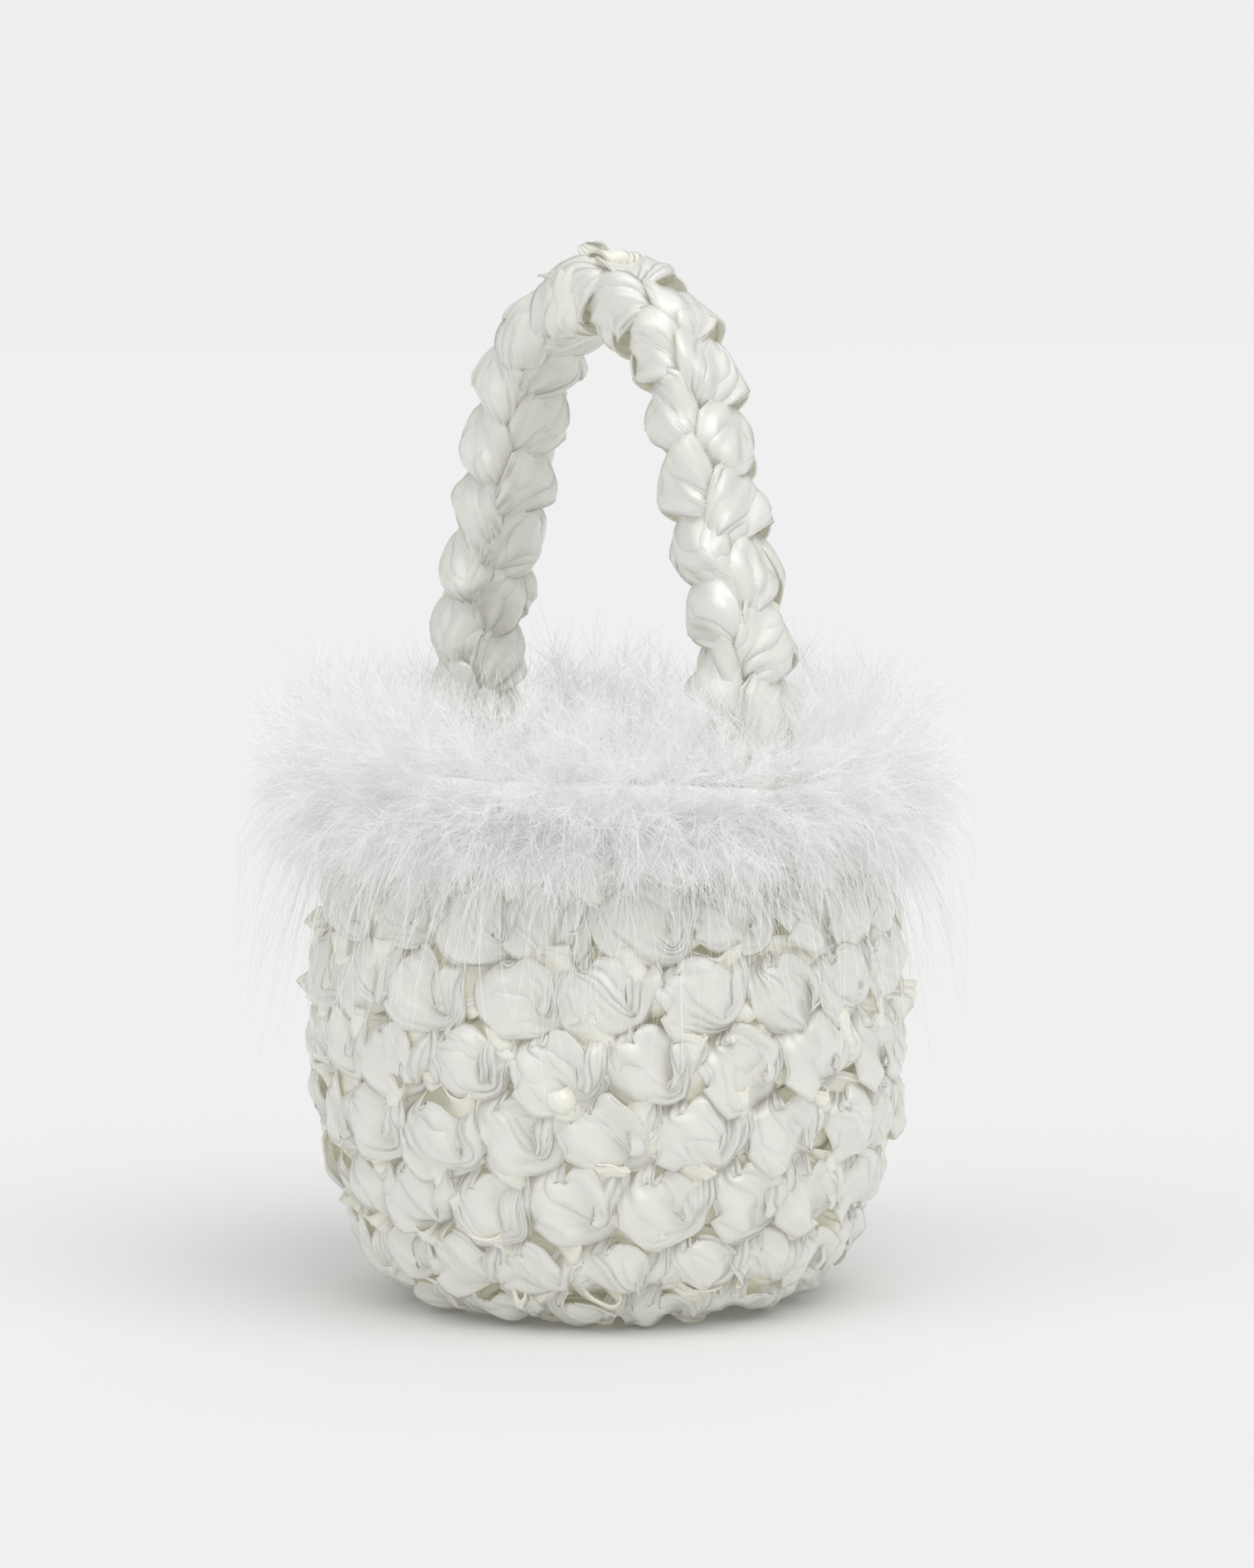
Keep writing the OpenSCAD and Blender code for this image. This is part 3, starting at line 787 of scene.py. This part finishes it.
# %% Turn of ribbon and its pinched end
def crown_turn():
    """One turn of ribbon round the band at the crown: a closed band in the Y-Z plane, puckered."""
    rows, cols = 120, 15
    around = ring_angles(rows)[:, None]
    v = np.linspace(-1, 1, cols)[None, :]
    thick_part, wide_part = superellipse(around)
    half_width = 7.0 * MM * (1 + 0.18 * np.sin(3 * around + 0.7))
    pucker = (0.7 * np.abs(np.sin(1.6 * math.pi * v + 0.9 * np.sin(2 * around)))
              + 1.8 * (1 - v**2) - 0.6 * v**2) * MM
    x = half_width * v + 5.0 * MM * np.sin(around + 0.6)
    sunk = (x / BAND_CROWN_R) ** 2 * BAND_CROWN_R / 2
    y = (band_half_w + 0.4 * MM + pucker) * wide_part
    z = crown_mid_z - sunk + (band_half_t + 0.4 * MM + pucker) * thick_part
    return np.stack([x + 0 * y, y + 0 * x, z + 0 * x], axis=-1)


def crown_leaf(foot, top, lean, half_width, curl):
    """A pinched leaf from foot to top: its width swells as sin^0.8 and closes to a point at both ends."""
    rows, cols = 30, 13
    u = np.linspace(0.03, 0.985, rows)[:, None]
    v = np.linspace(-1, 1, cols)[None, :]
    foot, top = np.array(foot), np.array(top)
    middle = foot + (top - foot) * u[..., None] + np.array(lean) * np.sin(math.pi * u)[..., None]
    width = half_width * np.sin(math.pi * u) ** 0.8
    side = unit(np.array([1.0, 0.35, 0.25]))
    face = np.array([0.2, -1.0, 0.1])
    fold = curl * (np.abs(v) ** 1.5) * np.sin(math.pi * u) + 0.35 * MM * np.sin(5 * v + 4 * u)
    return middle + side * (width * v)[..., None] + unit(face) * fold[..., None]


def crown_loop(middle):
    """A small round loop of ribbon beside the leaf: a closed ring in the X-Z plane, wider at its top."""
    rows, cols = 48, 11
    around = ring_angles(rows)[:, None]
    v = np.linspace(-1, 1, cols)[None, :]
    spread = 1 - 0.16 * v**2 + 0.05 * np.sin(6 * v + 2 * around)
    x = middle[0] + 5.6 * MM * np.sin(around) * spread + 1.2 * MM * v
    z = middle[2] + 3.6 * MM * np.cos(around) * spread
    y = middle[1] + (5.2 + 1.6 * np.cos(around)) * MM * v
    return np.stack([x, y, z], axis=-1)[:, ::-1]


crown_piece = ribbon_object("ribbon_crown_turn", [ribbon_shell(crown_turn(), True)])
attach(crown_piece, "handle")
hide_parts("crown_knot")
tail_low, tail_high = (np.array(corner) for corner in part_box("ribbon_tail"))
tail_foot = [tail_high[0] + 2 * MM, 0.0, tail_low[2] - 3 * MM]
tail_top = [tail_low[0] - 1.5 * MM, -1 * MM, tail_high[2] - 1.5 * MM]
tail_shell = ribbon_shell(crown_leaf(tail_foot, tail_top, (0.001, 0, 0.002), 5.0 * MM, 2.2 * MM), False)
loop_middle = [tail_high[0] + 6.5 * MM, -1.0 * MM, tail_low[2] - 1.2 * MM]
loop_shell = ribbon_shell(crown_loop(loop_middle), True)
tail_piece = ribbon_object("ribbon_crown_leaf", [tail_shell, loop_shell])
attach(tail_piece, "handle")
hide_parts("ribbon_tail")
print("crown at z", round(crown_mid_z, 4), "leaf box", np.round([tail_low, tail_high], 4).tolist())

# %% [markdown]
# ## The lining
# A cream cloth cup hangs inside the crochet, sewn in below the rim, with a stiff board under its floor.
# It shows through the gaps between the leaves and from above. The wall is one closed strip of cloth that
# eases in and out a little, and the floor is a separate round piece.

# %% Lining wall and floor
lining_low, lining_high = (np.array(corner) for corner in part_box("lining_wall"))
disc_low, disc_high = (np.array(corner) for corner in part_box("lining_base"))
disc_r = float(disc_high[0] - 0.5 * MM)
LINING_T = 0.7 * MM
LINING_INSET = 10.6 * MM


def lining_strip(rows, cols):
    """Middle surface of the lining wall: the belly's radius less the crochet, eased inwards in soft folds."""
    angle = ring_angles(rows)[:, None]
    up = np.linspace(0, 1, cols)[None, :]
    z = lining_low[2] + LINING_T + (lining_high[2] - lining_low[2] - LINING_T) * up
    r = wall_radius(z) - LINING_INSET
    r = np.minimum(r, np.interp(up, [0, 0.08, 1], [disc_high[0] - 1 * MM, 0.2, 0.2]))
    folds = (np.sin(9 * angle + 3 * up) + 0.6 * np.sin(17 * angle - 5 * up + 1.0)
             + 0.4 * np.sin(29 * angle + 2.0))
    r = r - 0.45 * MM * (2 + folds) * np.sin(math.pi * np.clip(up * 1.1, 0, 1))
    return np.stack([r * np.cos(angle), r * np.sin(angle), z + 0 * angle], axis=-1)


def disc_mesh(radius, z_low, z_high, rings, spokes):
    """A closed round piece of cloth: top and bottom each a centre point and rings, joined at the edge."""
    angle = ring_angles(spokes)
    radii = radius * np.arange(1, rings + 1) / rings
    grid = np.stack([radii[:, None] * np.cos(angle), radii[:, None] * np.sin(angle)], axis=-1).reshape(-1, 2)
    dip = 0.15 * MM * np.sin(grid[:, 0] * 180) * np.sin(grid[:, 1] * 140)
    top = np.column_stack([grid, z_high - 0.15 * MM + dip])
    bottom = np.column_stack([grid, np.full(len(grid), z_low)])
    verts = np.vstack([[[0, 0, z_high - 0.15 * MM]], top, [[0, 0, z_low]], bottom])
    under = 1 + len(grid)
    k = np.arange(spokes)
    n = (k + 1) % spokes
    faces = [np.stack([np.zeros_like(k), 1 + k, 1 + n], 1),
             np.stack([np.full_like(k, under), under + 1 + n, under + 1 + k], 1)]
    for ring in range(rings - 1):
        a, b = 1 + ring * spokes, 1 + (ring + 1) * spokes
        faces += [np.stack([a + k, b + k, b + n], 1), np.stack([a + k, b + n, a + n], 1)]
        a, b = a + under, b + under
        faces += [np.stack([a + k, b + n, b + k], 1), np.stack([a + k, a + n, b + n], 1)]
    a, b = 1 + (rings - 1) * spokes, under + 1 + (rings - 1) * spokes
    faces += [np.stack([a + k, b + k, b + n], 1), np.stack([a + k, b + n, a + n], 1)]
    return verts, np.vstack(faces)


strip = lining_strip(240, 40)
verts, faces, uv, _ = ribbon_shell(strip, True, LINING_T)
lining_wall = mesh_object("cloth_lining_wall", verts, faces, uv, LINING)
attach(lining_wall, "basket")
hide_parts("lining_wall")
verts, faces = disc_mesh(disc_r, disc_low[2], disc_high[2], 14, 96)
lining_floor = mesh_object("cloth_lining_base", verts, faces, None, LINING)
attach(lining_floor, "basket")
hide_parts("lining_base")
print("lining floor", round(2 * disc_r, 3), "m across")

# %% [markdown]
# ## The boa
# Marabou is the soft underdown of a bird, spun round a cord. Each plume has a bent shaft with fine barbs
# all round it, so the boa is built the same way: shafts grow out of the cord ring in every free direction,
# and each barb is a strip of four faces that leaves its shaft at a slant, curls and sinks a little.
# A soft core hides the cord, and long single hairs stand out of the mass and hang over the crochet.
# Down gives way to what it meets: a hair that would enter the wall is laid on the wall, and none grows
# through a leg. The down where the legs pass as the handle folds is a tuft of its own on each side, which
# closes round the standing leg.

# %% Where the down may lie
cord_low, cord_high = (np.array(corner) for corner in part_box("boa_cord"))
cord_r = float(0.5 * (cord_high[2] - cord_low[2]))
boa_ring_r = float(cord_high[0] - cord_r)
boa_z = float(0.5 * (cord_high[2] + cord_low[2]))
BOA_SECTORS = 6
BOA_SOFT_R = 0.100
BOA_LIMIT = 0.0115
LEG_ROOM = 2.5 * MM
FOLD_ANGLE = math.radians(float(max(swing_joint["range_deg"])))
UP = np.array([0.0, 0.0, 1.0])


def lay_on_wall(points):
    """Moves points that would lie in the crochet to its outside or its inside, whichever is nearer."""
    r = np.hypot(points[..., 0], points[..., 1])
    wall_r = wall_radius(points[..., 2])
    below = points[..., 2] < rim_z + 1.5 * MM
    outside = r > wall_r - 6 * MM
    new_r = np.where(below & outside, np.maximum(r, wall_r + 2.2 * MM), r)
    new_r = np.where(below & ~outside, np.minimum(new_r, wall_r - 14 * MM), new_r)
    over = np.maximum(new_r - BOA_SOFT_R, 0)
    new_r = np.where(over > 0, BOA_SOFT_R + BOA_LIMIT * np.tanh(over / BOA_LIMIT), new_r)
    scale = (new_r / np.maximum(r, 1e-6))[..., None]
    return np.concatenate([points[..., :2] * scale, points[..., 2:]], axis=-1)


def in_standing_leg(points):
    """True where a point lies in a leg of the handle at rest."""
    beside = np.abs(np.abs(points[..., 0]) - leg_x) < band_half_t
    return beside & (np.abs(points[..., 1]) < band_half_w) & (points[..., 2] > rim_z)


def in_leg_path(points):
    """True where a point lies in the space that a leg sweeps between its two limits, with a little room."""
    beside = np.abs(np.abs(points[..., 0]) - leg_x) < band_half_t + LEG_ROOM
    y, z = points[..., 1], points[..., 2] - pivot_z
    past = np.maximum(np.abs(np.arctan2(y, z)) - FOLD_ANGLE, 0)
    distance = np.hypot(y, z) * np.sin(np.minimum(past, math.pi / 2))
    return beside & (distance < band_half_w + LEG_ROOM) & (points[..., 2] > rim_z)


def strips(points, half_width, rng):
    """Flat strips along rows of points: each point opens to two, square to the strip's own direction."""
    along = unit(points[:, -1] - points[:, 0])
    side = unit(np.cross(along, rng.normal(0, 1, along.shape)))
    count, steps = points.shape[:2]
    taper = (1 - 0.65 * np.linspace(0, 1, steps))[None, :, None]
    reach = side[:, None] * half_width * taper
    verts = np.stack([points - reach, points + reach], axis=2).reshape(-1, 3)
    first = (np.arange(count)[:, None] * steps + np.arange(steps - 1)[None, :]).ravel() * 2
    return verts, np.stack([first, first + 1, first + 3, first + 2], axis=1)


print("boa ring", round(boa_ring_r / MM, 1), "mm in radius at height", round(boa_z / MM, 1), "mm")

# %% Barbs, hairs and core
CORE_R = 6.0 * MM


def ring_frame(theta):
    """Outward and forward unit vectors and the cord's point at each angle of the ring."""
    out = np.stack([np.cos(theta), np.sin(theta), np.zeros_like(theta)], axis=-1)
    forward = np.stack([-np.sin(theta), np.cos(theta), np.zeros_like(theta)], axis=-1)
    return out, forward, out * boa_ring_r + np.array([0, 0, boa_z])


def plume_barbs(theta, barbs, rng):
    """Barbs of all plumes in one sector as rows of five points. A shaft's point is
    root + direction * length * u - up * sag * u^2; a barb starts there and goes on at a slant."""
    count = len(theta)
    out, forward, root = ring_frame(theta)
    low = rng.random(count) < 0.27
    around = np.radians(np.where(low, rng.uniform(-95, -20, count), rng.uniform(-50, 195, count)))
    aim = unit(np.cos(around)[:, None] * out + np.sin(around)[:, None] * UP
               + rng.normal(0, 0.38, count)[:, None] * forward)
    length = rng.uniform(17, 25, count) * (1 + 0.62 * np.clip(np.sin(around), 0, 1)) * MM
    u = rng.uniform(0.12, 1.0, (count, barbs)) ** 0.8
    sag = rng.uniform(1.0, 6.0, count) * MM
    start = root[:, None] + aim[:, None] * (length[:, None] * u)[..., None]
    start = start - UP * (sag[:, None] * u**2)[..., None]
    slant = unit(np.cross(aim[:, None], rng.normal(0, 1, (count, barbs, 3))))
    heading = unit(0.8 * aim[:, None] + 0.8 * slant)
    size = rng.uniform(6.5, 12.5, (count, barbs)) * (1 - 0.25 * u) * MM
    curl = rng.normal(0, 0.35, (count, barbs, 3)) + 0.35 * aim[:, None]
    q = np.linspace(0, 1, 5)
    points = (start[:, :, None] + heading[:, :, None] * (size[..., None] * q)[..., None]
              + curl[:, :, None] * (size[..., None] * q**2)[..., None]
              - UP * (0.10 * size[..., None] * q**2)[..., None])
    return points.reshape(-1, 5, 3)


def long_hairs(theta, rng):
    """Single hairs of seven points that leave the mass, wave and hang."""
    count = len(theta)
    out, forward, root = ring_frame(theta)
    around = np.radians(rng.uniform(-70, 150, count))
    aim = unit(np.cos(around)[:, None] * out + np.sin(around)[:, None] * UP
               + rng.normal(0, 0.5, count)[:, None] * forward)
    length = rng.uniform(26, 50, count) * MM
    q = np.linspace(0.25, 1, 7)
    hang = rng.uniform(4, 34, count) * np.clip(1.1 - np.sin(around), 0.15, 1.4) * MM
    wave = rng.normal(0, 2.2, (count, 1, 3)) * MM * np.sin(5 * q + 1)[None, :, None]
    return (root[:, None] + aim[:, None] * (length[:, None] * q)[..., None] + wave
            - UP * (hang[:, None] * q**2)[..., None])


def boa_core(theta_from, theta_to):
    """Soft inside of the boa for one sector: a lumpy closed roll, drawn in where a leg stands beside it."""
    theta = np.linspace(theta_from, theta_to, 48)
    turn = ring_angles(24)
    near_leg = np.exp(-((np.mod(theta + math.pi / 2, math.pi) - math.pi / 2) / 0.34) ** 2)
    lumps = 1 + 0.10 * np.sin(11 * theta)[:, None] * np.sin(2 * turn)[None, :] + 0.06 * np.sin(
        23 * theta[:, None] + 3 * turn[None, :])
    radius = CORE_R * (1 - 0.50 * near_leg)[:, None] * lumps
    radius[[0, -1]] *= 0.02
    out, _, root = ring_frame(theta)
    points = (root[:, None] + out[:, None] * (radius * np.cos(turn))[..., None]
              + UP * (radius * np.sin(turn))[..., None])
    return points.reshape(-1, 3), grid_faces(48, 24, False, True)[:, ::-1]


def down_piece(name, parts):
    """One object of down from several sets of vertices and faces."""
    verts, faces = join_parts(parts)
    piece = mesh_object(name, verts, faces, None, DOWN)
    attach(piece, "basket")
    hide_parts("boa_down")
    return piece


def part_strands(strands):
    """Lays barbs or hairs on the wall, drops those that would stand in a leg, and parts the others into
    those beside the legs' path and those in it."""
    strands = lay_on_wall(strands)
    strands = strands[~in_standing_leg(strands).any(axis=1)]
    swept = in_leg_path(strands).any(axis=1)
    return strands[~swept], strands[swept]


PLUMES, BARBS, HAIRS = 1500, 74, 4800
print(PLUMES, "plumes of", BARBS, "barbs and", HAIRS, "hairs")

# %% Grow the boa
BARB_HALF_W = 0.085 * MM
HAIR_HALF_W = 0.10 * MM
rng = np.random.default_rng(SEED + 2)
boa_pieces, tuft_barbs, tuft_hairs = [], [], []
for sector in range(BOA_SECTORS):
    edges = np.array([sector, sector + 1]) * 2 * math.pi / BOA_SECTORS
    barbs, swept_barbs = part_strands(plume_barbs(rng.uniform(*edges, PLUMES // BOA_SECTORS), BARBS, rng))
    hairs, swept_hairs = part_strands(long_hairs(rng.uniform(*edges, HAIRS // BOA_SECTORS), rng))
    tuft_barbs.append(swept_barbs)
    tuft_hairs.append(swept_hairs)
    parts = [strips(barbs, BARB_HALF_W, rng), strips(hairs, HAIR_HALF_W, rng), boa_core(*edges)]
    boa_pieces.append(down_piece(f"boa_down_{sector + 1}", parts))
tuft_barbs, tuft_hairs = np.vstack(tuft_barbs), np.vstack(tuft_hairs)
for side, name in ((1, "boa_tuft_right"), (-1, "boa_tuft_left")):
    parts = [strips(rows[side * rows[:, 2, 0] > 0], half, rng) for rows, half in
             ((tuft_barbs, BARB_HALF_W), (tuft_hairs, HAIR_HALF_W))]
    piece = down_piece(name, parts)
    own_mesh(piece)
    boa_pieces.append(piece)
print("down:", {piece.name: len(piece.data.polygons) for piece in boa_pieces})

# %% [markdown]
# ## Pieces that keep their working shape
# The wires, the board, the cord and the thread loops are already their true shape in the working model,
# so they only get a finish of their own.

# %% Finishes of the kept pieces
KEPT = {"rim_hoop": WIRE, "handle_wire": WIRE, "base_board": BOARD, "boa_cord": CORD,
        "boa_stitches": THREAD, "root_stitches": THREAD}
for node, material in KEPT.items():
    kept = frame["nodes"][node]
    if not kept.material_slots:
        raise SystemExit(f"{node} has no material slot to repaint")
    for material_slot in kept.material_slots:
        material_slot.link = "OBJECT"
        material_slot.material = material
print("kept:", sorted(KEPT))

# %% [markdown]
# ## Floor, light and camera
# A pale floor that runs on to the horizon, an even sky and three broad soft lights make a plain studio.
# The floor is nearly as bright as the sky, so the horizon hardly shows. The camera stands a little above
# the rim and looks at the basket with the handle turned half away.

# %% Studio
CAMERA_AZIMUTH = math.radians(52)
CAMERA_ELEVATION = math.radians(5.4)
CAMERA_DISTANCE = 1.5
VIEW_HEIGHT = 0.470
AIM_Z = 0.1544
AIM_RIGHT = 0.006


def make_floor():
    """A large square of floor in the plane that the basket stands on."""
    size = 30.0
    verts = np.array([[-size, -size, 0], [size, -size, 0], [size, size, 0], [-size, size, 0]])
    material, tree, shader = new_material("studio_floor", (0.868, 0.868, 0.868))
    set_sockets(tree, shader, {"Roughness": 0.9, "Specular IOR Level": 0.0})
    floor = mesh_object("studio_floor", verts, np.array([[0, 1, 2, 3]]), None, material, smooth=False)


def make_sun(name, azimuth, elevation, strength, softness):
    """A sun light that comes from the given direction and casts shadows as soft as its angle."""
    light = bpy.data.lights.new(name, "SUN")
    light.energy, light.angle = strength, math.radians(softness)
    lamp = bpy.data.objects.new(name, light)
    bpy.context.scene.collection.objects.link(lamp)
    lamp.rotation_euler = (math.radians(90 - elevation), 0, math.radians(azimuth))


def make_world(seen, cast):
    """An even sky: the camera sees one brightness and the object is lit by another."""
    world = bpy.data.worlds.new("studio_sky")
    world.use_nodes = True
    tree = world.node_tree
    background = tree.nodes["Background"]
    background.inputs["Color"].default_value = (1.0, 1.0, 1.0, 1.0)
    path = add_node(tree, "ShaderNodeLightPath")
    strength = add_node(tree, "ShaderNodeMix", {"Factor": path.outputs["Is Camera Ray"]}, data_type="FLOAT")
    strength.inputs["A"].default_value = cast
    strength.inputs["B"].default_value = seen
    tree.links.new(strength.outputs["Result"], background.inputs["Strength"])
    bpy.context.scene.world = world


def make_camera():
    """A long lens, level in roll, aimed a little beside the axis."""
    toward = np.array([math.sin(CAMERA_AZIMUTH) * math.cos(CAMERA_ELEVATION),
                       -math.cos(CAMERA_AZIMUTH) * math.cos(CAMERA_ELEVATION), math.sin(CAMERA_ELEVATION)])
    right = np.array([math.cos(CAMERA_AZIMUTH), math.sin(CAMERA_AZIMUTH), 0.0])
    aim = right * AIM_RIGHT + np.array([0, 0, AIM_Z])
    data = bpy.data.cameras.new("studio_camera")
    data.sensor_width = 36.0
    data.lens = 36.0 * CAMERA_DISTANCE / VIEW_HEIGHT
    data.clip_end = 100.0
    camera = bpy.data.objects.new("studio_camera", data)
    bpy.context.scene.collection.objects.link(camera)
    camera.location = aim + toward * CAMERA_DISTANCE
    camera.rotation_euler = (math.pi / 2 - CAMERA_ELEVATION, 0, CAMERA_AZIMUTH)
    bpy.context.scene.camera = camera


make_floor()
make_world(0.862, 0.50)
make_sun("key_light", 84, 60, 1.16, 48)
make_sun("fill_light", 8, 52, 0.42, 40)
make_sun("back_light", 215, 70, 0.26, 50)
make_camera()
bpy.context.scene.view_settings.view_transform = "Standard"
print("studio ready")
